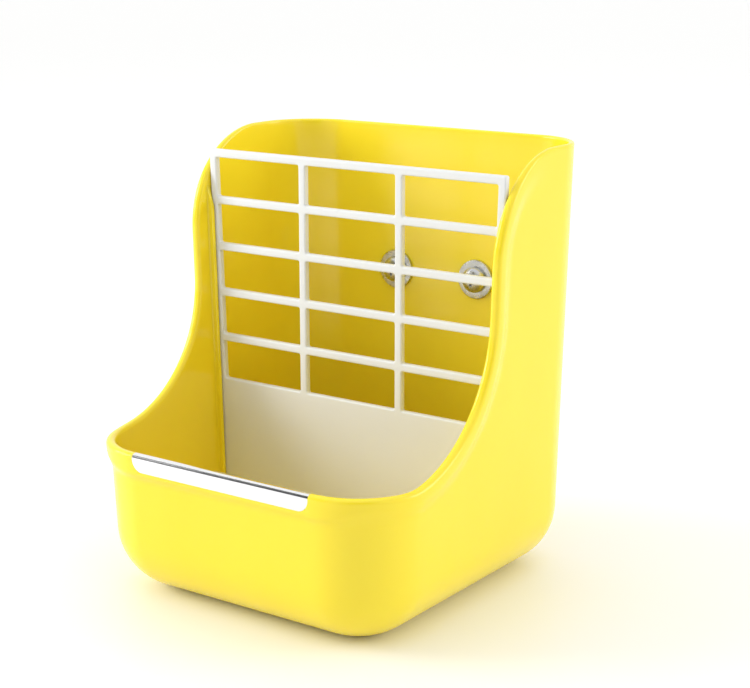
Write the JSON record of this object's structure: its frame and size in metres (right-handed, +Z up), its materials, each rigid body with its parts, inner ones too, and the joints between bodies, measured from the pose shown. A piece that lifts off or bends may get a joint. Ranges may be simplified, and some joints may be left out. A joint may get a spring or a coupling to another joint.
{
  "type": "small animal hopper feeder",
  "caption": "Two-in-one feeder for rabbits: moulded shell with a low pellet bowl and a tall hay hopper behind a lift-out grille, steel rim strip, and screws that clamp it to cage wires.",
  "frame": {"origin": "centre of the flat underside of the shell, on the surface it stands on", "axes": "+X to the feeder's right as seen from the bowl, +Y to the back wall, +Z up"},
  "size_m": [0.1644, 0.182, 0.19],
  "materials": {
    "yellow_plastic": "smooth glossy injection-moulded plastic",
    "white_plastic": "semi-gloss injection-moulded plastic",
    "polished_steel": "bright polished stainless sheet",
    "zinc_steel": "bright zinc plate"
  },
  "bodies": {
    "shell": {"body_shell": "yellow_plastic", "anti_chew_strip": "polished_steel", "clamp_screw_left": "zinc_steel", "clamp_screw_right": "zinc_steel", "inner_washer_left": "zinc_steel", "inner_washer_right": "zinc_steel"},
    "grille": {"hay_grille": "white_plastic"},
    "clamp_left": {"cage_washer_left": "zinc_steel"},
    "nut_left": {"wing_nut_left": "zinc_steel"},
    "clamp_right": {"cage_washer_right": "zinc_steel"},
    "nut_right": {"wing_nut_right": "zinc_steel"}
  },
  "joints": [
    {"name": "grille_lift", "type": "slide", "parent": "shell", "child": "grille", "axis": [0, 0, 1], "range_m": [0, 0.188]},
    {"name": "clamp_left_travel", "type": "slide", "parent": "shell", "child": "clamp_left", "axis": [0, 1, 0], "range_m": [-0.003, 0.006]},
    {"name": "nut_left_turn", "type": "hinge", "parent": "clamp_left", "child": "nut_left", "pos_m": [-0.022, 0.0854, 0.122], "axis": [0, 1, 0], "range_deg": [-1080, 2160]},
    {"name": "clamp_right_travel", "type": "slide", "parent": "shell", "child": "clamp_right", "axis": [0, 1, 0], "range_m": [-0.003, 0.006]},
    {"name": "nut_right_turn", "type": "hinge", "parent": "clamp_right", "child": "nut_right", "pos_m": [0.022, 0.0854, 0.122], "axis": [0, 1, 0], "range_deg": [-1080, 2160]}
  ],
  "couplings": [
    {"joint": "clamp_left_travel", "follows": "nut_left_turn", "m_per_rad": 0.00015915},
    {"joint": "clamp_right_travel", "follows": "nut_right_turn", "m_per_rad": 0.00015915}
  ]
}
